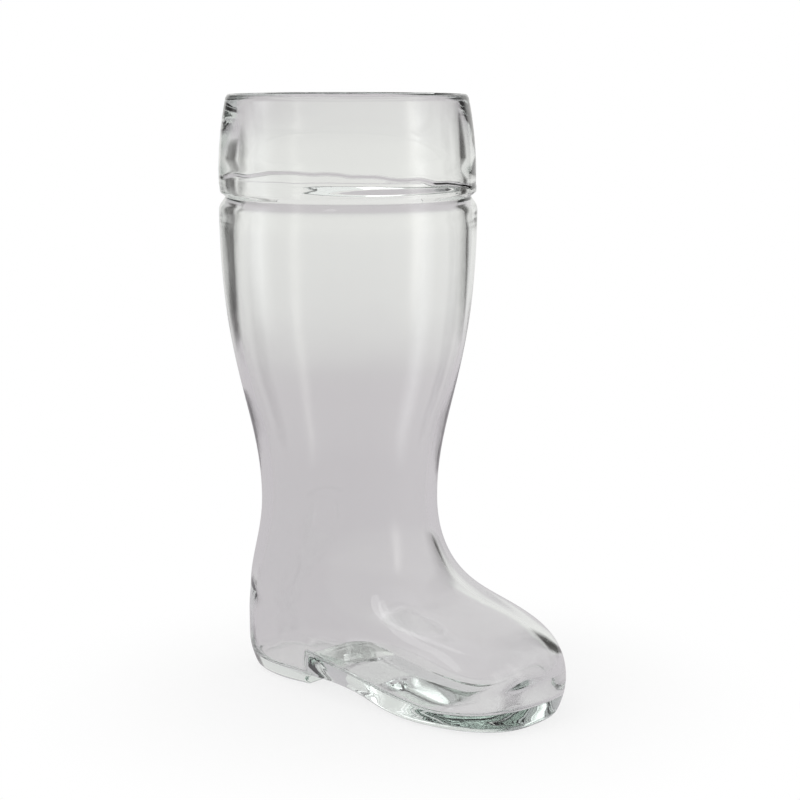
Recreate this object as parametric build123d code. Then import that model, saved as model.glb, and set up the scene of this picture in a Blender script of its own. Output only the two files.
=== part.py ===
from build123d import *
import math
import os

# A boot-shaped drinking glass of clear blown glass, in five sections that meet face to face.
# Millimetres, +Z up, toe along +X, origin on the ground under the middle of the boot.
# Lengths along the foot are measured from the shaft's axis, towards the toe.

# Heights above the ground
boot_height = 250.0
ankle_height = 80.0
counter_height = 24.5
widest_height = 15.0

# Heights below the rim
cuff_height = 42.0
belly_drop = 33.0
waist_of_bore_drop = 25.0
settle_wave_drop = 35.0

# Outside of the turned upper part: how far the rim draws in from the cuff and the calf stands out
cuff_radius = 53.6
rim_taper = 3.9
calf_swell = 0.3
ankle_radius = 37.5

# Ring groove between cuff and shaft
groove_depth = 2.9
groove_lip = 1.9
groove_run = 4.0
lip_round = 1.5
shoulder_round = 5.0
rim_round = 1.3

# Handles of the calf's curve, from the shoulder down and from the ankle up
calf_handle = 70.0
shank_handle = 38.0

# Foot: reach of toe and heel, half width, handles of the instep's curve
toe_reach = 105.6
heel_reach = 50.7
foot_half_width = 34.3
instep_handle = 56.4
toe_handle = 38.5

# Plan outline of the foot: squareness, and how much squarer the toe is inside, near the floor;
# flare towards the ball; pinch of the waist near the ground
outline_power = 2.7
inner_toe_power = 1.3
inner_toe_top = 30.0
ball_flare = 0.14
waist_pinch = 0.31
waist_place = -0.18
waist_spread = 0.4
pinch_top = 21.0

# Underside: heel breast, arch of the waist, draft of the sole's side, bottom edge
breast_place = -4.0
arch_height = 5.0
arch_end = 64.0
sole_draft = 4.0
edge_round = 2.5

# Thickness of the glass
rim_wall = 2.8
cuff_wall = 7.3
groove_wall = 3.2
calf_wall = 5.0
ankle_wall = 4.5
foot_wall = 3.0
toe_wall = 10.0
floor_thickness = 7.0

# Settle wave: a shallow ring hollow inside the cuff, and the throat below it
settle_wave_depth = 1.5
throat_run = 16.0

# Inside floor: heel well, ridge over the waist, slope down to the ball, rise to the toe
ridge_height = 18.5
ridge_place = 4.0
ridge_rise = 9.0
slope_end = 70.0
toe_lift = 2.0
ridge_round = 2.5
well_round = 2.5
slope_round = 60.0
floor_round = 2.2
welt_cover = 0.5

# How finely the foot's outlines are drawn and stacked
outline_points = 28
instep_steps = 10
draft_steps = 3

# Places that follow from the sizes above
rim_radius = cuff_radius - rim_taper
calf_radius = cuff_radius + calf_swell
rear_reach = max(cuff_radius, calf_radius, heel_reach)
axis_x = (rear_reach - toe_reach) / 2
groove_z = boot_height - cuff_height
groove_radius = calf_radius - groove_depth
throat_radius = groove_radius - groove_wall
welt_z = ridge_height + floor_round + welt_cover
breast_x = axis_x + breast_place
beyond = 2 * boot_height


def smooth(t):
    """Blend from 0 to 1 that starts and ends level."""
    t = min(max(t, 0.0), 1.0)
    return t * t * (3 - 2 * t)


def s_curve(start, start_handle, end, end_handle):
    """Curve that leaves start and reaches end upright, with handles measured along Z."""
    return Bezier(
        start,
        (start[0], start[1] + start_handle),
        (end[0], end[1] + end_handle),
        end,
    )


def round_corner(face, place, radius):
    """Round the corner of a flat outline that lies nearest to a place."""
    corner = face.vertices().sort_by_distance(place)[0]
    return fillet(corner, radius)


def turn(face):
    """Turn an outline, drawn as radius and height, round the shaft's axis."""
    return Pos(axis_x, 0, 0) * revolve(Plane.XZ * face, Axis.Z)


def cuff_section():
    """Barrel-shaped band round the mouth, with the settle wave in its bore."""
    rim = (rim_radius, boot_height)
    belly = (cuff_radius, boot_height - belly_drop)
    swell = cuff_radius - rim_radius
    barrel_radius = (belly_drop ** 2 + swell ** 2) / (2 * swell)
    lip_z = groove_z + groove_lip
    below_belly = belly[1] - lip_z
    lip_radius = cuff_radius - barrel_radius + math.sqrt(barrel_radius ** 2 - below_belly ** 2)
    barrel = ThreePointArc(rim, belly, (lip_radius, lip_z))
    lip = Line(barrel @ 1, (groove_radius, groove_z))
    seam = Line(lip @ 1, (throat_radius, groove_z))
    bore_radius = cuff_radius - cuff_wall
    bore = Spline(
        seam @ 1,
        (bore_radius + settle_wave_depth, boot_height - settle_wave_drop),
        (bore_radius, boot_height - waist_of_bore_drop),
        (rim_radius - rim_wall, boot_height),
        tangents=[(0, 1), (0, 1)],
    )
    top = Line(bore @ 1, barrel @ 0)
    face = make_face(barrel + lip + seam + bore + top)
    face = round_corner(face, barrel @ 1, lip_round)
    face = round_corner(face, bore @ 1, rim_round)
    face = round_corner(face, rim, rim_round)
    return turn(face)


def shaft_section():
    """Calf, from the ring groove down to the ankle."""
    shoulder = (calf_radius, groove_z - groove_run)
    ankle = (ankle_radius, ankle_height)
    ankle_bore = (ankle_radius - ankle_wall, ankle_height)
    calf_bore = (calf_radius - calf_wall, groove_z - throat_run)
    groove_side = Line((groove_radius, groove_z), shoulder)
    calf = s_curve(shoulder, -calf_handle, ankle, shank_handle)
    ankle_seam = Line(ankle, ankle_bore)
    bore = s_curve(ankle_bore, shank_handle, calf_bore, -calf_handle)
    throat = s_curve(calf_bore, throat_run / 2, (throat_radius, groove_z), -throat_run / 2)
    seam = Line(throat @ 1, groove_side @ 0)
    face = make_face(groove_side + calf + ankle_seam + bore + throat + seam)
    return turn(round_corner(face, shoulder, shoulder_round))


def outline_wire(z, front, back, half_width, blend, wall_share):
    """Plan outline at height z: a circle where blend is 0, a shoe's sole where it is 1."""
    squarer = wall_share * inner_toe_power * smooth(1.5 * (1 - z / inner_toe_top))
    middle = (front - back) / 2
    half_length = (front + back) / 2
    points = []
    for i in range(outline_points):
        angle = 2 * math.pi * (i + 0.5) / outline_points
        power = 2 + blend * (outline_power - 2 + squarer * max(math.cos(angle), 0))
        along = math.copysign(abs(math.cos(angle)) ** (2 / power), math.cos(angle))
        across = math.copysign(abs(math.sin(angle)) ** (2 / power), math.sin(angle))
        pinch = waist_pinch * math.exp(-((along - waist_place) / waist_spread) ** 2)
        pinch = pinch * smooth(1 - z / pinch_top)
        width = half_width * (1 + blend * (ball_flare * along - pinch))
        points.append((axis_x + middle + half_length * along, width * across, z))
    steps = list(range(outline_points + 1))
    return Wire([Edge.make_spline(points, periodic=True, parameters=steps)])


def upper_outline(t, wall_share):
    """Outline at step t down the instep, set in by a share of the glass's thickness."""
    instep = s_curve(
        (ankle_radius, ankle_height), -instep_handle, (toe_reach, widest_height), toe_handle
    )
    inset = wall_share * (ankle_wall + (foot_wall - ankle_wall) * smooth(t))
    front_inset = inset + wall_share * (toe_wall - foot_wall) * t ** 6
    place = instep.position_at(t, PositionMode.PARAMETER)
    along = instep.tangent_at(t, PositionMode.PARAMETER)
    front = place.X + front_inset * along.Y
    z = place.Y - front_inset * along.X
    fall = ankle_height - z
    blend = smooth(fall / (ankle_height - widest_height))
    bulge = smooth(fall / (ankle_height - counter_height))
    back = ankle_radius + (heel_reach - ankle_radius) * bulge - inset
    half_width = ankle_radius + (foot_half_width - ankle_radius) * blend - inset
    return outline_wire(z, front, back, half_width, blend, wall_share)


def lower_outline(drop, wall_share):
    """Outline below the widest one, drawn in by the draft of the sole's side."""
    draft = sole_draft * drop ** 2
    inset = wall_share * foot_wall + draft
    front = toe_reach - wall_share * toe_wall - draft
    z = widest_height * (1 - drop)
    return outline_wire(z, front, heel_reach - inset, foot_half_width - inset, 1, wall_share)


def foot_body(wall_share):
    """The foot as a full solid: its outside, or its inside where wall_share is 1."""
    steps = [0, 0.5] + list(range(1, instep_steps + 1))
    upper = [upper_outline(step / instep_steps, wall_share) for step in steps]
    lower = [lower_outline((i + 1) / draft_steps, wall_share) for i in range(draft_steps)]
    return Solid.make_loft(upper + lower)


def across_boot(face):
    """Carry a side view, drawn from the shaft's axis, right across the boot."""
    return Pos(axis_x, 0, 0) * extrude(Plane.XZ * face, beyond, both=True)


def waist_arch():
    """The space under the arch of the waist, which rises from the ball to the heel's breast."""
    span = arch_end - breast_place
    arch = Bezier(
        (breast_place, arch_height),
        (breast_place + 0.45 * span, 0.5 * arch_height),
        (arch_end - 0.3 * span, 0),
        (arch_end, 0),
    )
    below = Polyline(
        arch @ 1, (arch_end, -beyond), (-beyond, -beyond), (-beyond, arch_height), arch @ 0
    )
    return across_boot(make_face(arch + below))


def solid_below_floor():
    """Everything under the floor of the cavity: heel well, ridge, slope to the ball, rise to the toe."""
    well_end = (ridge_place - ridge_rise, floor_thickness)
    ridge = (ridge_place, ridge_height)
    ball = (slope_end, floor_thickness)
    toe_slope = toe_lift / (toe_reach - slope_end)
    line = Polyline(
        (-beyond, floor_thickness),
        well_end,
        ridge,
        ball,
        (slope_end + beyond, floor_thickness + toe_slope * beyond),
        (slope_end + beyond, -beyond),
        (-beyond, -beyond),
        close=True,
    )
    face = make_face(line)
    face = round_corner(face, ridge, ridge_round)
    face = round_corner(face, well_end, well_round)
    face = round_corner(face, ball, slope_round)
    return across_boot(face)


def cavity():
    """The space inside the foot, with its floor rounded into its walls."""
    space = foot_body(1) - solid_below_floor()
    wall = space.faces().sort_by(SortBy.AREA)[-1]
    floor_edges = wall.edges().filter_by(lambda edge: edge.center().Z < welt_z)
    return fillet(floor_edges, floor_round)


def lower_glass():
    """The glass below the ankle as a full solid, with its bottom edge rounded."""
    body = foot_body(0)
    return fillet(body.faces().sort_by(Axis.Z)[0].edges(), edge_round)


def slab(x0, x1, z0, z1):
    """A block right across the boot between two places and two heights."""
    return Pos((x0 + x1) / 2, 0, (z0 + z1) / 2) * Box(x1 - x0, 2 * beyond, z1 - z0)


glass = lower_glass()
space = cavity()
sections = {
    "cuff": cuff_section(),
    "shaft": shaft_section(),
    "foot": (glass & slab(-beyond, beyond, welt_z, beyond)) - space,
    "sole": (glass & slab(breast_x, beyond, -beyond, welt_z)) - space - waist_arch(),
    "heel": (glass & slab(-beyond, breast_x, -beyond, welt_z)) - space,
}

os.makedirs("parts", exist_ok=True)
for name, solid in sections.items():
    export_step(solid, f"parts/{name}.step")
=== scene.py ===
import math
from functools import partial

import bmesh
import bpy
import numpy as np
from mathutils import Matrix, Vector


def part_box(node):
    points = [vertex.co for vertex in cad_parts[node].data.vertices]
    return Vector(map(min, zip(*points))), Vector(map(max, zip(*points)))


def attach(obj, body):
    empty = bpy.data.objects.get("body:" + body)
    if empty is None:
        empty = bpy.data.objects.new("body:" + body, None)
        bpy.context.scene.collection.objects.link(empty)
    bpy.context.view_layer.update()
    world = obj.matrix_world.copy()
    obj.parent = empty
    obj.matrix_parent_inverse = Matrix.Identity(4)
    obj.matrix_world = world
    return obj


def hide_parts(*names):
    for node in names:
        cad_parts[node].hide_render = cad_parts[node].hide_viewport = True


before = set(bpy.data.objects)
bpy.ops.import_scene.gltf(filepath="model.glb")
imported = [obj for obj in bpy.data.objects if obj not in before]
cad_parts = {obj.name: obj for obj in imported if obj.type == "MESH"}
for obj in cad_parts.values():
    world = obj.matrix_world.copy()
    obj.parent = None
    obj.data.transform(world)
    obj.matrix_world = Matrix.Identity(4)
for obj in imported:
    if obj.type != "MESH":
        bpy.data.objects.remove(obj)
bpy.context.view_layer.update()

# The boot is one closed skin of clear glass, in metres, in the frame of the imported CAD: +Z up, toe along +X.

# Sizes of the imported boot. mm is a millimetre on a boot of the usual height, so the rest scales with it.
cuff_low, cuff_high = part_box("cuff")
shaft_low, shaft_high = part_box("shaft")
sole_low, sole_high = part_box("sole")
foot_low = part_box("foot")[0]
heel_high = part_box("heel")[1]
boot_height = cuff_high.z
mm = boot_height / 250
axis_x = (cuff_low.x + cuff_high.x) / 2
groove_z = cuff_low.z
ankle_z = shaft_low.z
breast_x = heel_high.x
cuff_radius = (cuff_high.y - cuff_low.y) / 2
calf_radius = (shaft_high.y - shaft_low.y) / 2
toe_reach = sole_high.x - axis_x
heel_reach = axis_x - foot_low.x


def inner(node, start, direction):
    """Where a ray from inside the boot first meets a CAD node."""
    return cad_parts[node].ray_cast(Vector(start), Vector(direction))[1]


def bore(node, z):
    """Radius of the turned bore at a height."""
    return inner(node, (axis_x, 0, z), (0, 1, 0)).y


def girth(node, z):
    """Outside radius of the turned part at a height."""
    return inner(node, (axis_x, 1, z), (0, -1, 0)).y


# Turned upper part. Radii are read a little off each edge, where the ray meets a wall.
hair = 0.05 * mm
rim_round = 1.3 * mm
lip_round = 1.5 * mm
groove_round = 0.5 * mm
shoulder_round = 5 * mm
below_rim = boot_height - 1.4 * mm
waist_z = boot_height - 25 * mm
hollow_z = boot_height - 35 * mm
throat_run = 16 * mm
calf_handle = 70 * mm
shank_handle = 38 * mm
rim_radius = girth("cuff", below_rim)
rim_bore = bore("cuff", below_rim)
waist_bore = bore("cuff", waist_z)
wave_bore = bore("cuff", hollow_z)
throat = bore("cuff", groove_z + hair)
calf_bore = bore("shaft", groove_z - throat_run)
ankle_bore = bore("shaft", ankle_z + hair)
ankle_radius = girth("shaft", ankle_z + hair)
groove_radius = girth("cuff", groove_z + hair)
belly_z = boot_height - 33 * mm
shoulder_z = groove_z - 4 * mm
lip_z = groove_z + 1.9 * mm
parting_z = groove_z + 4.4 * mm
wave_z = groove_z + 7.4 * mm

# How far the cuff and the bore stand off the axis, to the right in the photograph
cuff_lean = -0.3 * mm
bore_lean = 0.4 * mm

# Foot. foot_side is its half width without flare and pinch, side_share its ratio to the width with them.
# toe_power tells how late down the instep the glass thickens to the toe's wall.
widest_z = 15 * mm
counter_z = 24.5 * mm
side_share = 1.0055
foot_side = (sole_high.y - sole_low.y) / 2 * side_share
ankle_wall = ankle_radius - ankle_bore
foot_wall = 3 * mm
toe_wall = 10 * mm
toe_power = 2.4
instep_handle = 56.4 * mm
toe_handle = 38.5 * mm
squareness = 2.7
toe_squareness = 1.3
toe_square_top = 30 * mm
ball_flare = 0.14
waist_pinch = 0.31
waist_place = -0.18
waist_spread = 0.4
pinch_top = 21 * mm
sole_draft = 4 * mm
edge_round = 2.5 * mm
floor_round = 2.2 * mm
arch_height = inner("sole", (breast_x + mm, 0, -1), (0, 0, 1)).z
arch_end = axis_x + 64 * mm
floor_z = inner("heel", (axis_x - 20 * mm, 0, 40 * mm), (0, 0, -1)).z
floor_reach = 26 * mm

# The photograph's point of view, by fit of the boot's outline: its turn round the boot from -Y towards +X,
# its tilt and lens, then its distance and the place it looks at as shares of the boot's height
view_turn = math.radians(40.9)
view_tilt = math.radians(9.76)
view_lens = 88.23
view_distance = 3.334
aim_height = 0.4854
aim_aside = 0.0863

# How finely the skin is drawn: columns round the boot, rungs across its underside and floor, and steps
# along the curves from ring to ring
columns = 192
rungs = 24
edge_steps = 7
side_steps = 11
arch_steps = 100
instep_steps = 60
calf_steps = 72
groove_steps = 6
barrel_steps = 29
bend_steps = 8
cuff_bore_steps = (14, 34, 26)
throat_steps = 14
calf_bore_steps = 60
well_steps = 5


def smooth(t):
    """Blend from 0 to 1 that starts and ends level."""
    t = np.clip(t, 0, 1)
    return t * t * (3 - 2 * t)


def bezier(points, steps):
    """Points along a cubic curve, its first point left out."""
    a, b, c, d = (np.array(p, float) for p in points)
    t = (np.arange(steps) + 1)[:, None] / steps
    return list((1 - t) ** 3 * a + 3 * t * (1 - t) ** 2 * b + 3 * t * t * (1 - t) * c + t ** 3 * d)


def rounded(before, corner, after, radius, steps=bend_steps):
    """Points round a corner between two straight runs."""
    before, corner, after = (np.array(p, float) for p in (before, corner, after))
    u = (before - corner) / np.linalg.norm(before - corner)
    v = (after - corner) / np.linalg.norm(after - corner)
    half = math.acos(np.clip(u @ v, -1, 1)) / 2
    reach = radius / math.tan(half)
    t = np.linspace(0, 1, steps + 1)[:, None]
    w = math.sin(half)
    weights = (1 - t) ** 2, 2 * w * t * (1 - t), t * t
    places = corner + u * reach, corner, corner + v * reach
    return list(sum(k * p for k, p in zip(weights, places)) / sum(weights))


def barrel(z):
    """Outside radius of the cuff, an arc with its belly low down."""
    swell = cuff_radius - rim_radius
    rise = boot_height - belly_z
    arc = (rise ** 2 + swell ** 2) / (2 * swell)
    return cuff_radius - arc + math.sqrt(arc ** 2 - (z - belly_z) ** 2)


def turned_outside():
    """Radius and height up the outside, from the ankle to the middle of the rim."""
    shoulder = (calf_radius, shoulder_z)
    below = (calf_radius, shoulder_z - 10 * mm)
    groove = (groove_radius, groove_z)
    lip = (barrel(lip_z), lip_z)
    above = (barrel(lip_z + 3 * mm), lip_z + 3 * mm)
    line = bezier(
        [
            (ankle_radius, ankle_z),
            (ankle_radius, ankle_z + shank_handle),
            (calf_radius, shoulder_z - calf_handle),
            shoulder,
        ],
        calf_steps,
    )
    corner = rounded(below, shoulder, groove, shoulder_round)
    line = [p for p in line if p[1] < corner[0][1] - 0.3 * mm] + corner
    line += rounded(shoulder, groove, lip, groove_round, groove_steps)
    line += rounded(groove, lip, above, lip_round)
    start = line[-1][1]
    for t in np.linspace(0, 1, barrel_steps + 1)[1:]:
        z = start + (boot_height - rim_round - start) * t
        line.append(np.array((barrel(z), z)))
    for a in np.linspace(0, math.pi / 2, bend_steps + 1)[1:]:
        r = rim_radius - rim_round * (1 - math.cos(a))
        line.append(np.array((r, boot_height - rim_round * (1 - math.sin(a)))))
    return line


def turned_inside():
    """Radius and height down the bore, from the rim to the ankle."""
    line = []
    for a in np.linspace(math.pi / 2, 0, bend_steps + 1):
        r = rim_bore + rim_round * (1 - math.cos(a))
        line.append(np.array((r, boot_height - rim_round * (1 - math.sin(a)))))
    knots = [
        (boot_height - rim_round, rim_bore),
        (waist_z, waist_bore),
        (hollow_z, wave_bore),
        (groove_z, throat),
    ]
    slopes = [0, 0, 0, 0]
    slopes[1] = (knots[2][1] - knots[0][1]) / (knots[2][0] - knots[0][0]) * 0.5
    runs = zip(knots, knots[1:], slopes, slopes[1:], cuff_bore_steps)
    for (z0, r0), (z1, r1), s0, s1, steps in runs:
        t = (np.arange(steps) + 1) / steps
        z = z0 + (z1 - z0) * t
        r = (
            (1 + 2 * t) * (1 - t) ** 2 * r0
            + t * (1 - t) ** 2 * (z1 - z0) * s0
            + t * t * (3 - 2 * t) * r1
            - t * t * (1 - t) * (z1 - z0) * s1
        )
        line += list(np.stack([r, z], 1))
    top, run = groove_z, throat_run
    line += bezier(
        [
            (throat, top),
            (throat, top - run / 2),
            (calf_bore, top - run / 2),
            (calf_bore, top - run),
        ],
        throat_steps,
    )
    line += bezier(
        [
            (calf_bore, top - run),
            (calf_bore, top - run - calf_handle),
            (ankle_bore, ankle_z + shank_handle),
            (ankle_bore, ankle_z),
        ],
        calf_bore_steps,
    )
    return line


def foot_ring(t, wall_share):
    """Sizes of the foot's outline at step t down the instep."""
    a, b = np.array((ankle_radius, ankle_z)), np.array((ankle_radius, ankle_z - instep_handle))
    c, d = np.array((toe_reach, widest_z + toe_handle)), np.array((toe_reach, widest_z))
    place = (1 - t) ** 3 * a + 3 * t * (1 - t) ** 2 * b + 3 * t * t * (1 - t) * c + t ** 3 * d
    along = (1 - t) ** 2 * (b - a) + 2 * t * (1 - t) * (c - b) + t * t * (d - c)
    along /= np.linalg.norm(along)
    inset = wall_share * (ankle_wall + (foot_wall - ankle_wall) * smooth(t))
    front_inset = inset + wall_share * (toe_wall - foot_wall) * t ** toe_power
    front = place[0] + front_inset * along[1]
    z = place[1] - front_inset * along[0]
    fall = ankle_z - z
    blend = float(smooth(fall / (ankle_z - widest_z)))
    bulge = float(smooth(fall / (ankle_z - counter_z)))
    return {
        "height": z,
        "front": front,
        "back": ankle_radius + (heel_reach - ankle_radius) * bulge - inset,
        "side": ankle_radius + (foot_side - ankle_radius) * blend - inset,
        "blend": blend,
    }


def low_ring(z, inset, wall_share=0):
    """Sizes of the foot's outline below its widest place."""
    inset += wall_share * foot_wall
    upright = wall_share * sole_draft * max(1 - z / widest_z, 0) ** 2
    return {
        "height": z,
        "front": toe_reach - inset - wall_share * (toe_wall - foot_wall) + upright,
        "back": heel_reach - inset,
        "side": foot_side - inset,
        "blend": 1.0,
    }


def turned_ring(place):
    """Sizes of a round outline, from its radius and height."""
    r, z = place
    return {"height": z, "front": r, "back": r, "side": r, "blend": 0.0}


def lean(ring, shift):
    """Shift a ring to the right, as seen in the photograph."""
    ring["sway_x"] = float(shift * math.cos(view_turn))
    ring["sway_y"] = float(shift * math.sin(view_turn))


def stack_of_rings():
    """All outlines of the skin: up the outside, over the rim and down the inside."""
    rings = []
    for a in np.linspace(math.pi / 2, 0, edge_steps + 1):
        rings.append(low_ring(edge_round * (1 - math.sin(a)), edge_round * (1 - math.cos(a))))
    for z in np.linspace(edge_round, widest_z, side_steps + 1)[1:]:
        rings.append(low_ring(z, 0))
    for t in np.linspace(1, 0, instep_steps + 1)[1:]:
        rings.append(foot_ring(t, 0))
    for ring in rings:
        share = (widest_z - ring["height"]) / (widest_z - edge_round)
        ring["arch_share"] = float(np.clip(share, 0, 1))
        ring["gather"] = float(smooth(share))
        # streaks only round the sole and the heel
        ring["streak"] = float(smooth((22 * mm - ring["height"]) / (6 * mm)))
    rings += [turned_ring(p) for p in turned_outside()]
    inside = [turned_ring(p) for p in turned_inside()]
    for ring in rings:
        lean(ring, cuff_lean * smooth((ring["height"] - parting_z) / (0.5 * mm)))
    for ring in inside:
        z = ring["height"]
        rim = smooth((z - boot_height + 30 * mm) / (28 * mm))
        lean(ring, cuff_lean * rim + bore_lean * (1 - rim) * smooth((z - ankle_z) / (60 * mm)))
        # the settle wave only low in the cuff
        wave_foot = smooth((z - groove_z + 6 * mm) / (10 * mm))
        wave_top = smooth((wave_z + 16 * mm - z) / (5 * mm))
        ring["wave"] = float(wave_foot * wave_top)
    for t in np.linspace(0, 1, instep_steps + 1)[1:]:
        inside.append(foot_ring(t, 1))
    low = floor_z + floor_round
    for z in np.linspace(widest_z, low, well_steps + 1)[1:]:
        inside.append(low_ring(z, 0, 1))
    for a in np.linspace(0, math.pi / 2, edge_steps + 1)[1:]:
        inside.append(low_ring(low - floor_round * math.sin(a), floor_round * (1 - math.cos(a)), 1))
    for ring in inside:
        ring["floor_share"] = float(np.clip((floor_reach - ring["height"]) / (floor_reach - low), 0, 1))
        ring["inside"] = 1.0
        # ripples fade out towards the rim
        ring["ripple"] = float(smooth((boot_height - 10 * mm - ring["height"]) / (30 * mm)))
    return rings + inside


def outline(angle, front, back, side, inside=0):
    """Plan of the sole's outline, by the same rule as the skin's."""
    c, s = np.cos(angle), np.sin(angle)
    power = 2 / (squareness + inside * toe_squareness * np.maximum(c, 0))
    along = np.sign(c) * np.abs(c) ** power
    across = np.sign(s) * np.abs(s) ** power
    pinch = waist_pinch * np.exp(-((along - waist_place) / waist_spread) ** 2)
    width = side * (1 + ball_flare * along - pinch)
    return axis_x + (front - back) / 2 + (front + back) / 2 * along, width * across


def underside(x):
    """Height of the underside: flat heel, arch that falls from the breast to the ball, flat ball."""
    span = arch_end - breast_x
    line = bezier(
        [
            (breast_x, arch_height),
            (breast_x + 0.45 * span, 0.5 * arch_height),
            (arch_end - 0.3 * span, 0),
            (arch_end, 0),
        ],
        arch_steps,
    )
    xs, zs = np.array([(breast_x, arch_height)] + line).T
    return np.where(x < breast_x, 0.0, np.interp(x, xs, zs))


def floor_line():
    """Height of the cavity's floor along the boot, read from the CAD."""
    xs = np.linspace(-heel_reach + 16 * mm, toe_reach - toe_wall - 3 * mm, num=280) + axis_x
    zs = []
    for x in xs:
        node = "heel" if x < breast_x else "sole"
        zs.append(inner(node, (x, 0, 20 * mm), (0, 0, -1)).z)
    return xs, np.array(zs)


def stations():
    """Angles of the columns and how far each lifts at the arch and at the floor."""
    half = columns // 2
    even = np.arange(half + 1) * math.pi / half
    fine = np.linspace(0, math.pi, num=6000)
    x, y = outline(fine, toe_reach, heel_reach, foot_side)
    run = np.concatenate([[0], np.cumsum(np.hypot(np.diff(x), np.diff(y)))])
    sole = np.interp(np.linspace(0, run[-1], half + 1), run, fine)
    middle, reach = (toe_reach - heel_reach) / 2, (toe_reach + heel_reach) / 2

    def angle_of(x, z):
        inset = edge_round + sole_draft * np.clip(1 - z / widest_z, 0, 1) ** 2
        along = np.clip((x - axis_x - middle) / (reach - inset), -1, 1)
        return np.arccos(np.sign(along) * np.abs(along) ** (squareness / 2))

    # the breast's profile, from the arch down to the ground, each place a nudge behind the last
    high, low, nudge = 1.4 * mm, 1.0 * mm, 0.004 * mm
    a = np.linspace(0, math.pi / 2, num=5)
    px = np.concatenate([breast_x + high * (1 - np.sin(a)), breast_x - low * (1 - np.cos(a))])
    px -= np.arange(len(px)) * nudge
    pz = np.concatenate([arch_height - high * (1 - np.cos(a)), low * (1 - np.sin(a))])
    inset = edge_round + sole_draft
    x0, _ = outline(sole, toe_reach - inset, heel_reach - inset, foot_side - inset)
    lift = underside(x0)
    first = int(np.argmin(np.abs(x0 - breast_x))) - len(px) // 2

    # columns gathered at the breast, those on either side spread to make room
    gathered = sole.copy()
    target = angle_of(px, pz)
    last = first + len(px) - 1
    spread = min(columns // 8, half - last)
    gathered[first:last + 1] = target
    gathered[first - spread:first + 1] = np.linspace(sole[first - spread], target[0], spread + 1)
    gathered[last:last + spread + 1] = np.linspace(target[-1], sole[last + spread], spread + 1)
    for _ in range(3):
        inset = edge_round + sole_draft * (1 - lift / widest_z) ** 2
        x0, _ = outline(gathered, toe_reach - inset, heel_reach - inset, foot_side)
        lift = underside(x0)
    lift[first:last + 1] = pz

    inset = foot_wall + floor_round
    xs, zs = floor_line()
    x1, _ = outline(sole, toe_reach - toe_wall - floor_round, heel_reach - inset, foot_side - inset, 1)
    rise = np.interp(x1, xs, zs) - floor_z
    angles = {"round_angle": even, "sole_angle": sole, "breast_angle": gathered}
    lifts = {"arch_lift": lift, "floor_lift": rise}
    whole = {name: np.concatenate([near, 2 * math.pi - near[-2::-1]]) for name, near in angles.items()}
    whole.update({name: np.concatenate([near, near[-2::-1]]) for name, near in lifts.items()})
    return whole


class Lead:
    """A socket of a node tree, with which sums can be written."""

    def __init__(self, tree, socket):
        self.tree = tree
        self.socket = socket

    def node(self, kind, settings=None, sockets=None, output=0):
        return add_node(self.tree, kind, settings, sockets, output)

    def maths(self, operation, *others):
        return self.node("ShaderNodeMath", {"operation": operation}, dict(enumerate((self, *others))))

    def other_first(self, operation, other):
        return self.node("ShaderNodeMath", {"operation": operation}, {0: other, 1: self})

    def __add__(self, other):
        return self.maths("ADD", other)

    def __sub__(self, other):
        return self.maths("SUBTRACT", other)

    def __mul__(self, other):
        return self.maths("MULTIPLY", other)

    def __truediv__(self, other):
        return self.maths("DIVIDE", other)

    def __pow__(self, other):
        return self.maths("POWER", other)

    def __neg__(self):
        return self * -1

    __radd__ = __add__
    __rmul__ = __mul__

    def __rsub__(self, other):
        return self.other_first("SUBTRACT", other)

    def __rtruediv__(self, other):
        return self.other_first("DIVIDE", other)

    def mix(self, first, second):
        """first where this is 0, second where it is 1."""
        return first + (second - first) * self

    def smooth(self):
        """Blend from 0 to 1 that starts and ends level."""
        t = self.maths("MAXIMUM", 0.0).maths("MINIMUM", 1.0)
        return t * t * (3 - t * 2)

    def eased(self, start, end, first, second):
        """first up to start and second from end on, with a level-ended blend between them."""
        span = {0: self, 1: start, 2: end, 3: first, 4: second}
        return self.node("ShaderNodeMapRange", {"interpolation_type": "SMOOTHSTEP"}, span)


def add_node(tree, kind, settings=None, sockets=None, output=0):
    """Add a node: its settings come first, then the values or links of its sockets."""
    node = tree.nodes.new(kind)
    for name, value in (settings or {}).items():
        if name == "stops":
            while len(node.color_ramp.elements) < len(value):
                node.color_ramp.elements.new(0.5)
            for element, (place, colour) in zip(node.color_ramp.elements, value):
                element.position = place
                element.color = colour
        else:
            setattr(node, name, value)
    for name, value in (sockets or {}).items():
        if isinstance(value, Lead):
            tree.links.new(value.socket, node.inputs[name])
        else:
            node.inputs[name].default_value = value
    return Lead(tree, node.outputs[output]) if node.outputs else None


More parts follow.
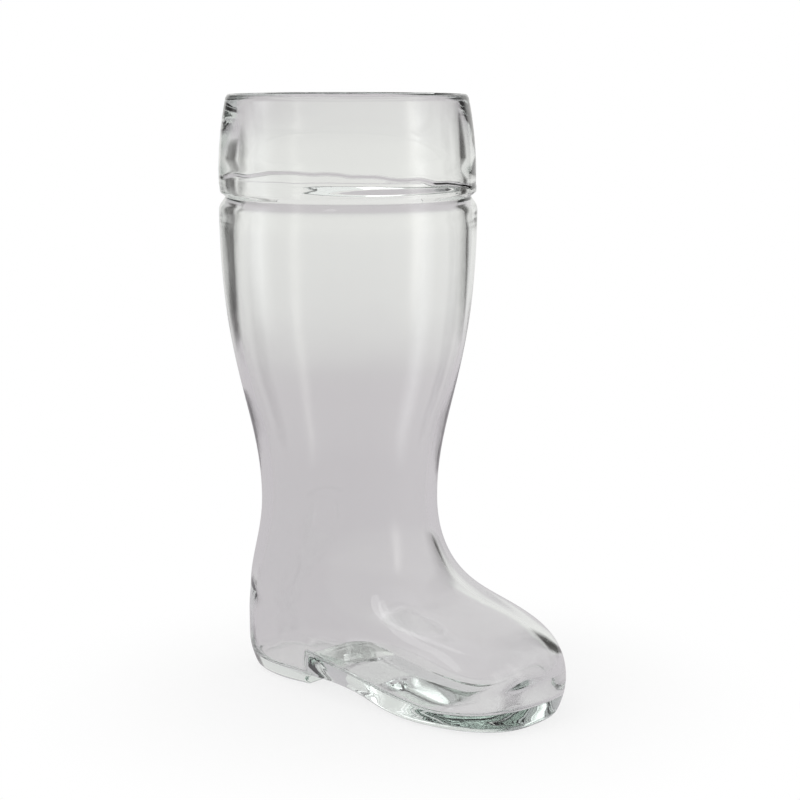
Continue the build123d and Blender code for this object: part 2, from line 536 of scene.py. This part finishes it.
def skin_tree(sizes):
    """Geometry nodes that stretch one skin of glass over the stack of outlines, an input for each size."""
    tree = bpy.data.node_groups.new("skin_over_outlines", "GeometryNodeTree")
    tree.interface.new_socket("Outlines", in_out="INPUT", socket_type="NodeSocketGeometry")
    kinds = {int: "NodeSocketInt", float: "NodeSocketFloat", bpy.types.Material: "NodeSocketMaterial"}
    for name, size in sizes.items():
        tree.interface.new_socket(name, in_out="INPUT", socket_type=kinds[type(size)])
    tree.interface.new_socket("Skin", in_out="OUTPUT", socket_type="NodeSocketGeometry")
    entry = tree.nodes.new("NodeGroupInput")
    given = {socket.name: Lead(tree, socket) for socket in entry.outputs if socket.name}
    make = partial(add_node, tree)

    index = make("GeometryNodeInputIndex")
    column = ((index + 0.5) / given["Rings"]).maths("FLOOR")
    ring = index - column * given["Rings"]

    def read(name, place):
        value = make("GeometryNodeInputNamedAttribute", {"data_type": "FLOAT"}, {"Name": name})
        return make(
            "GeometryNodeSampleIndex",
            {"data_type": "FLOAT", "domain": "POINT"},
            {"Geometry": given["Outlines"], "Value": value, "Index": place},
        )

    def of_ring(name):
        return read(name, ring)

    def of_column(name):
        return read(name, column + given["Rings"])

    blend = of_ring("blend")
    angle = blend.mix(of_column("round_angle"), of_column("sole_angle"))
    angle = of_ring("gather").mix(angle, of_column("breast_angle"))
    cosine, sine = angle.maths("COSINE"), angle.maths("SINE")
    turn = make("ShaderNodeCombineXYZ", None, {"X": cosine, "Y": sine})
    swell = make(
        "ShaderNodeTexNoise",
        {"noise_dimensions": "4D"},
        {"Vector": turn, "W": given["Seed"] + 7.5, "Scale": 3.0, "Detail": 2.0, "Roughness": 0.5},
    )
    height = of_ring("height") + of_column("arch_lift") * of_ring("arch_share")
    height = height + of_column("floor_lift") * of_ring("floor_share")
    near = ((1 - height / given["Toe Square Top"]) * 1.5).smooth() * of_ring("inside")
    square = given["Squareness"] - 2 + near * given["Toe Squareness"] * cosine.maths("MAXIMUM", 0.0)
    power = 2 / (blend * square + 2)
    along = cosine.maths("SIGN") * cosine.maths("ABSOLUTE") ** power
    across = sine.maths("SIGN") * sine.maths("ABSOLUTE") ** power
    drop = (1 - height / given["Widest Height"]).maths("MAXIMUM", 0.0)
    draft = given["Sole Draft"] * drop * drop
    crest = given["Wave Height"] + given["Wave Sway"] * ((angle + given["Wave Turn"]) * 2).maths("COSINE")
    crest = crest + given["Wave Tilt"] * (angle + given["Tilt Turn"]).maths("COSINE")
    crest = crest + given["Wave Unevenness"] * (swell - 0.5) * 2
    fold = ((crest - height) / given["Wave Run"] + 0.5).smooth()
    draft = draft + given["Wave Depth"] * of_ring("wave") * fold
    front, back = of_ring("front") - draft, of_ring("back") - draft
    side = of_ring("side") - draft
    far = (along - given["Waist Place"]) / given["Waist Spread"]
    pinch = given["Waist Pinch"] * (-(far * far)).maths("EXPONENT")
    pinch = pinch * (1 - height / given["Pinch Top"]).smooth()
    width = side * (1 + blend * (given["Ball Flare"] * along - pinch))
    x = given["Axis"] + (front - back) / 2 + (front + back) / 2 * along + of_ring("sway_x")
    y = width * across + of_ring("sway_y")
    place = make("ShaderNodeCombineXYZ", None, {"X": x, "Y": y, "Z": height})
    grid = make(
        "GeometryNodeMeshGrid",
        None,
        {"Vertices X": given["Columns"] + 1, "Vertices Y": given["Rings"]},
    )
    skin = make("GeometryNodeSetPosition", None, {"Geometry": grid, "Position": place})

    ripple = make(
        "ShaderNodeTexNoise",
        {"noise_dimensions": "4D"},
        {
            "Vector": make("GeometryNodeInputPosition"),
            "W": given["Seed"],
            "Scale": given["Ripple Scale"],
            "Detail": 1.0,
        },
    )
    streaks_per_metre = (22.0, 22.0, 260.0)
    flow = make(
        "ShaderNodeVectorMath",
        {"operation": "MULTIPLY"},
        {0: make("GeometryNodeInputPosition"), 1: streaks_per_metre},
    )
    streak = make(
        "ShaderNodeTexNoise",
        {"noise_dimensions": "4D"},
        {"Vector": flow, "W": given["Seed"] + 3, "Scale": 1.0, "Detail": 1.0},
    )
    depth = (ripple - 0.5) * 2 * given["Ripple Depth"] * of_ring("ripple")
    depth = depth + (streak - 0.5) * 2 * given["Streak Depth"] * of_ring("streak")
    push = make(
        "ShaderNodeVectorMath",
        {"operation": "SCALE"},
        {"Vector": make("GeometryNodeInputNormal"), "Scale": depth},
    )
    skin = make("GeometryNodeSetPosition", None, {"Geometry": skin, "Offset": push})
    skin = make("GeometryNodeSetShadeSmooth", None, {"Geometry": skin})
    skin = make("GeometryNodeRealizeInstances", None, {"Geometry": skin})
    skin = make("GeometryNodeSetMaterial", None, {"Geometry": skin, "Material": given["Glass"]})
    leave = tree.nodes.new("NodeGroupOutput")
    tree.links.new(skin.socket, leave.inputs[0])
    return tree


def uneven(place):
    """Shallow waves of the fire-polished underside, which rise from the ground."""
    x, y = place.x / mm, place.y / mm
    waves = 2 + math.sin(0.21 * x + 0.5 * math.sin(0.2 * y)) + math.sin(0.27 * y + 0.17 * x)
    return 0.05 * mm * waves * float(smooth((place.x - arch_end + 12 * mm) / (20 * mm)))


def close_skin(mesh, rings):
    """Weld the skin's seam, then close its underside and the cavity's floor with ladders of faces."""
    bm = bmesh.new()
    bm.from_mesh(mesh)
    bm.verts.ensure_lookup_table()
    seam = {bm.verts[columns * rings + j]: bm.verts[j] for j in range(rings)}

    bottom_edge = [bm.verts[i * rings] for i in range(columns)]
    floor_edge = [bm.verts[i * rings + rings - 1] for i in range(columns)]

    def ladder(edge, facing_up):
        half = columns // 2
        rows = [[edge[0]]]
        for i in range(1, half):
            a, b = edge[i], edge[columns - i]
            row = [a]
            for k in range(1, rungs):
                place = a.co.lerp(b.co, k / rungs)
                if not facing_up:
                    place.z += uneven(place) * math.sin(math.pi * k / rungs) ** 0.5
                row.append(bm.verts.new(place))
            rows.append(row + [b])
        rows.append([edge[half]])
        for one, two in zip(rows, rows[1:]):
            for k in range(rungs):
                corners = [one[min(k, len(one) - 1)], one[min(k + 1, len(one) - 1)]]
                corners += [two[min(k + 1, len(two) - 1)], two[min(k, len(two) - 1)]]
                corners = list(dict.fromkeys(corners))
                face = bm.faces.new(corners[::-1] if facing_up else corners)
                face.smooth = True

    ladder(bottom_edge, False)
    ladder(floor_edge, True)
    bmesh.ops.weld_verts(bm, targetmap=seam)
    for face in bm.faces:
        face.material_index = 0
    bm.to_mesh(mesh)
    bm.free()
    coat = [material for material in mesh.materials if material]
    mesh.materials.clear()
    mesh.materials.append(coat[0])


def blank_material(name):
    """A material with an empty node tree, and the tree."""
    material = bpy.data.materials.new(name)
    material.use_nodes = True
    material.node_tree.nodes.clear()
    return material, material.node_tree


def glass():
    """Clear glass, a shade greyer towards the bottom, faintly uneven, and scuffed where it stands."""
    material, tree = blank_material("clear_glass")
    make = partial(add_node, tree)
    place = make("ShaderNodeTexCoord", output="Object")
    z = make("ShaderNodeSeparateXYZ", None, {0: place}, "Z")
    # base colour a shade greyer towards the bottom, by height
    shade = make(
        "ShaderNodeValToRGB",
        {"stops": [(0.0, (0.975, 0.98, 0.975, 1)), (1.0, (0.985, 0.985, 0.98, 1))]},
        {0: z / boot_height},
    )
    scuffs = make("ShaderNodeTexNoise", None, {"Vector": place, "Scale": 900.0, "Detail": 3.0})
    worn = z.eased(1.2 * mm, 0.1 * mm, 0.0, 0.12)
    skin = make("ShaderNodeTexNoise", None, {"Vector": place, "Scale": 150.0, "Detail": 2.0})
    relief = make("ShaderNodeBump", None, {"Strength": 0.4, "Distance": 0.03 * mm, "Height": skin})
    body = make(
        "ShaderNodeBsdfPrincipled",
        None,
        {
            "Base Color": shade,
            "Roughness": worn * scuffs,
            "IOR": 1.51,
            "Transmission Weight": 1.0,
            "Normal": relief,
        },
    )
    dim = make("ShaderNodeVolumeAbsorption", None, {"Color": (0.935, 0.95, 0.943, 1), "Density": 45.0})
    make("ShaderNodeOutputMaterial", None, {"Surface": body, "Volume": dim})
    return material


def blow_boot():
    """The boot as one closed skin of glass."""
    rings = stack_of_rings()
    whole = stations()
    mesh = bpy.data.meshes.new("outlines")
    count = len(rings)
    mesh.vertices.add(count + columns + 1)

    def store(name, values):
        """Keep a value for each ring, or for each column after them."""
        field = mesh.attributes.new(name, "FLOAT", "POINT")
        field.data.foreach_set("value", np.array(values, np.float32))

    for name in (
        "height",
        "front",
        "back",
        "side",
        "blend",
        "arch_share",
        "floor_share",
        "gather",
        "inside",
        "ripple",
        "wave",
        "streak",
        "sway_x",
        "sway_y",
    ):
        store(name, [ring.get(name, 0.0) for ring in rings] + [0.0] * (columns + 1))
    for name, values in whole.items():
        store(name, [0.0] * count + list(values))
    boot = bpy.data.objects.new("boot_glass", mesh)
    bpy.context.scene.collection.objects.link(boot)
    sizes = {
        "Rings": count,
        "Columns": columns,
        "Axis": axis_x,
        "Squareness": squareness,
        "Toe Squareness": toe_squareness,
        "Toe Square Top": toe_square_top,
        "Ball Flare": ball_flare,
        "Waist Pinch": waist_pinch,
        "Waist Place": waist_place,
        "Waist Spread": waist_spread,
        "Pinch Top": pinch_top,
        "Widest Height": widest_z,
        "Sole Draft": sole_draft,
        "Ripple Depth": 0.2 * mm,
        "Ripple Scale": 32.0,
        "Streak Depth": 0.05 * mm,
        "Wave Height": wave_z,
        "Wave Depth": 1 * mm,
        "Wave Run": 1.9 * mm,
        "Wave Sway": 1.2 * mm,
        "Wave Turn": math.radians(49),
        "Wave Tilt": 3.3 * mm,
        "Tilt Turn": math.radians(90),
        "Wave Unevenness": 2.2 * mm,
        "Seed": 5,
        "Glass": glass(),
    }
    tree = skin_tree(sizes)
    modifier = boot.modifiers.new("skin", "NODES")
    modifier.node_group = tree
    for item in tree.interface.items_tree:
        if item.name in sizes:
            modifier[item.identifier] = sizes[item.name]
    graph = bpy.context.evaluated_depsgraph_get()
    skin = bpy.data.meshes.new_from_object(boot.evaluated_get(graph), depsgraph=graph)
    boot.modifiers.clear()
    boot.data = skin
    close_skin(skin, count)
    return boot


def camera():
    """The photograph's point of view."""
    turn, tilt = view_turn, view_tilt
    right = Vector((math.cos(turn), math.sin(turn), 0))
    back = Vector((math.sin(turn) * math.cos(tilt), -math.cos(turn) * math.cos(tilt), math.sin(tilt)))
    up = back.cross(right)
    aim = Vector((axis_x, 0, aim_height * boot_height)) + right * aim_aside * boot_height
    data = bpy.data.cameras.new("camera")
    data.lens = view_lens
    data.sensor_width = 36
    data.clip_start = 0.01
    view = bpy.data.objects.new("camera", data)
    turned = Matrix((right, up, back)).transposed().to_4x4()
    view.matrix_world = Matrix.Translation(aim + back * view_distance * boot_height) @ turned
    bpy.context.scene.collection.objects.link(view)
    bpy.context.scene.camera = view


def seen_ray(tree):
    """1 for what the eye sees, straight or on and through the glass, and 0 for light on a surface."""
    path = tree.nodes.new("ShaderNodeLightPath")
    seen = Lead(tree, path.outputs["Is Camera Ray"]) + Lead(tree, path.outputs["Is Glossy Ray"])
    return (seen + Lead(tree, path.outputs["Is Transmission Ray"])).maths("MINIMUM", 1.0)


def white_surroundings():
    """White for the eye, and through and on the glass; softer as a light."""
    world = bpy.data.worlds.new("studio")
    bpy.context.scene.world = world
    world.use_nodes = True
    tree = world.node_tree
    tree.nodes.clear()
    level = seen_ray(tree).mix(0.8, 1.0)
    white = add_node(tree, "ShaderNodeBackground", None, {"Color": level, "Strength": 1.0})
    add_node(tree, "ShaderNodeOutputWorld", None, {"Surface": white})


def table():
    """A white table that keeps a faint shadow of the boot near it and fades into the background. Near the boot
    most of its white is glow, painted light that lifts the boot's shadow as light through the glass would.
    """
    drop = 0.4 * mm
    bm = bmesh.new()
    bmesh.ops.create_circle(bm, cap_ends=True, segments=96, radius=4)
    mesh = bpy.data.meshes.new("table")
    bm.to_mesh(mesh)
    bm.free()
    mesh.transform(Matrix.Translation((0, 0, -drop)))
    top = bpy.data.objects.new("table", mesh)
    bpy.context.scene.collection.objects.link(top)
    material, tree = blank_material("white_table")
    make = partial(add_node, tree)
    place = make("ShaderNodeTexCoord", output="Object")
    far = make("ShaderNodeVectorMath", {"operation": "LENGTH"}, {0: place}, "Value")
    # glow share 0.78 near the boot is painted light lifting the shadow; away from it the table is plain white
    # glow
    glow_share_lifting_shadow = far.eased(0.06, 0.17, 0.78, 1.0)
    paint = make("ShaderNodeBsdfDiffuse", None, {"Color": (0.9, 0.9, 0.9, 1)})
    glow = make("ShaderNodeEmission", None, {"Color": (1, 1, 1, 1), "Strength": 1.0})
    both = make("ShaderNodeMixShader", None, {0: glow_share_lifting_shadow * seen_ray(tree), 1: paint, 2: glow})
    make("ShaderNodeOutputMaterial", None, {"Surface": both})
    mesh.materials.append(material)


def soft_card(name, start, end, distance, low, high, across, upward, colour, strength):
    """A curved card round the table with soft edges, seen only in and through the glass.

    start and end are degrees from the camera's side, to its right, low and high the heights of its
    edges. across and upward are its cover from start to end and from low to high."""
    material, tree = blank_material(name)
    make = partial(add_node, tree)
    uv = make("ShaderNodeUVMap", {"uv_map": "reach"})
    cover = 1.0
    for part, stops in (("X", across), ("Y", upward)):
        ramp = {"stops": [(place, (share, share, share, 1)) for place, share in stops]}
        reach = make("ShaderNodeSeparateXYZ", None, {0: uv}, part)
        cover = make("ShaderNodeValToRGB", ramp, {0: reach}) * cover
    shine = make("ShaderNodeEmission", None, {"Color": colour, "Strength": strength})
    clear = make("ShaderNodeBsdfTransparent")
    both = make("ShaderNodeMixShader", None, {0: cover, 1: clear, 2: shine})
    make("ShaderNodeOutputMaterial", None, {"Surface": both})
    bm = bmesh.new()
    layer = bm.loops.layers.uv.new("reach")
    steps = 24
    rows = []
    for k in range(steps + 1):
        angle = view_turn - math.pi / 2 + math.radians(start + (end - start) * k / steps)
        x, y = axis_x + distance * math.cos(angle), distance * math.sin(angle)
        rows.append([bm.verts.new((x, y, z)) for z in (low, high)])
    for k, (a, b) in enumerate(zip(rows, rows[1:])):
        face = bm.faces.new((a[0], b[0], b[1], a[1]))
        for loop, share, rise in zip(face.loops, (k, k + 1, k + 1, k), (0, 0, 1, 1)):
            loop[layer].uv = (share / steps, rise)
    mesh = bpy.data.meshes.new(name)
    bm.to_mesh(mesh)
    bm.free()
    mesh.materials.append(material)
    stage_only(bpy.data.objects.new(name, mesh))


def paper_sweep():
    """A pale paper sweep under and round the boot, seen only in and through the glass. It glows and lights
    nothing, so its shades are painted light: lilac grey on the table, lighter up its wall and lightest to the
    right behind the boot, as light falls there."""
    flat, bend, top, drop, sides = 0.6, 0.1, 1.4, 0.2 * mm, 96
    lightest_z = 0.23
    material, tree = blank_material("sweep_painted_light")
    make = partial(add_node, tree)
    place = make("ShaderNodeTexCoord", output="Object")
    z = make("ShaderNodeSeparateXYZ", None, {0: place}, "Z")
    # painted light: the sweep's glow grades from lilac grey on the table to lighter up its wall
    shade = make(
        "ShaderNodeValToRGB",
        {
            "stops": [
                (0.0, (0.605, 0.578, 0.602, 1)),
                (0.1, (0.62, 0.6, 0.617, 1)),
                (0.25, (0.695, 0.685, 0.69, 1)),
                (0.45, (0.78, 0.778, 0.772, 1)),
                (1.0, (0.845, 0.845, 0.83, 1)),
            ]
        },
        {0: z / lightest_z},
    )
    level = make("ShaderNodeVectorMath", {"operation": "MULTIPLY"}, {0: place, 1: (1, 1, 0)})
    level = make("ShaderNodeVectorMath", {"operation": "NORMALIZE"}, {0: level})
    right = (math.cos(view_turn), math.sin(view_turn), 0)
    aside = make("ShaderNodeVectorMath", {"operation": "DOT_PRODUCT"}, {0: level, 1: right}, "Value")
    # painted side light: the sweep glows a little brighter to the right behind the boot
    painted_side_light = aside.eased(-0.06, 0.16, 0.96, 1.01)
    painted_light_tint = make("ShaderNodeVectorMath", {"operation": "SCALE"}, {0: shade, "Scale": painted_side_light})
    paper = make("ShaderNodeEmission", None, {"Color": painted_light_tint, "Strength": 1.0})
    make("ShaderNodeOutputMaterial", None, {"Surface": paper})
    line = [(flat, -drop)]
    for a in np.linspace(0, math.pi / 2, 12)[1:]:
        line.append((flat + bend * math.sin(a), bend - bend * math.cos(a)))
    line.append((flat + bend, top))
    bm = bmesh.new()
    rows = [[bm.verts.new((axis_x, 0, -drop))] * sides]
    angles = [2 * math.pi * k / sides for k in range(sides)]
    for r, rise in line:
        rows.append([bm.verts.new((axis_x + r * math.cos(a), r * math.sin(a), rise)) for a in angles])
    for one, two in zip(rows, rows[1:]):
        for k in range(sides):
            corners = (one[k], two[k], two[(k + 1) % sides], one[(k + 1) % sides])
            bm.faces.new(list(dict.fromkeys(corners))).smooth = True
    mesh = bpy.data.meshes.new("paper_sweep")
    bm.to_mesh(mesh)
    bm.free()
    mesh.materials.append(material)
    stage_only(bpy.data.objects.new("paper_sweep", mesh))


def stage_only(card):
    """Put a piece of the studio in place, seen only in and through the glass."""
    bpy.context.scene.collection.objects.link(card)
    card.visible_camera = False
    card.visible_diffuse = False
    card.visible_shadow = False


def studio():
    """A glowing paper sweep, two black flags that draw the glass's edges, and two glowing cards, not lamps,
    whose reflections paint highlights on the glass; none of these lights the boot.
    """
    paper_sweep()
    across = [(0.0, 0.0), (0.12, 0.35), (0.28, 0.9), (0.6, 0.97), (0.8, 0.9), (1.0, 0.0)]
    upward = [
        (0.0, 0.0),
        (0.02, 0.6),
        (0.05, 0.95),
        (0.27, 1.0),
        (0.36, 0.8),
        (0.55, 0.65),
        (0.7, 0.3),
        (1.0, 0.0),
    ]
    flag = {"distance": 0.56, "low": 0.04, "high": 0.8, "across": across, "upward": upward}
    black = (0.02, 0.017, 0.015, 1)
    soft_card("black_flag_left", 206, 236, **flag, colour=black, strength=1.0)
    soft_card("black_flag_right", 112, 143, **flag, colour=black, strength=1.0)
    # the two cards below glow but light nothing: painted highlights, seen only on and through the glass
    glow = [(0.0, 0.0), (0.5, 1.0), (1.0, 0.0)]
    rise = [(0.0, 0.0), (0.2, 1.0), (0.6, 1.0), (1.0, 0.0)]
    box = {"distance": 0.5, "low": 0.0, "high": 0.6, "across": glow, "upward": rise}
    soft_card("highlight_card_right", 52, 72, **box, colour=(1, 0.99, 0.96, 1), strength=2.1)
    soft_card("highlight_card_left", -104, -68, **box, colour=(0.98, 0.99, 1, 1), strength=2.2)


def lamp(name, azimuth, height, distance, size, power):
    """A soft lamp that faces the boot. azimuth is measured from -Y towards +X, as view_turn is."""
    data = bpy.data.lights.new(name, "AREA")
    data.shape = "RECTANGLE"
    data.size, data.size_y = size
    data.energy = power
    place = Vector((axis_x + distance * math.sin(azimuth), -distance * math.cos(azimuth), height))
    box = bpy.data.objects.new(name, data)
    aim = Vector((axis_x, 0, 0.5 * boot_height)) - place
    box.matrix_world = Matrix.Translation(place) @ aim.to_track_quat("-Z", "Y").to_matrix().to_4x4()
    bpy.context.scene.collection.objects.link(box)


scene = bpy.context.scene
scene.view_settings.view_transform = "Standard"
scene.cycles.max_bounces = 48
scene.cycles.transmission_bounces = 48
scene.cycles.glossy_bounces = 16
scene.cycles.transparent_max_bounces = 16
boot = blow_boot()
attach(boot, "root")
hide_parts("cuff", "shaft", "foot", "sole", "heel")
camera()
white_surroundings()
table()
studio()
to_the_left = math.radians(60)
lamp("overhead", view_turn - to_the_left, height=1.6, distance=0.9, size=(1.2, 1.2), power=6.0)
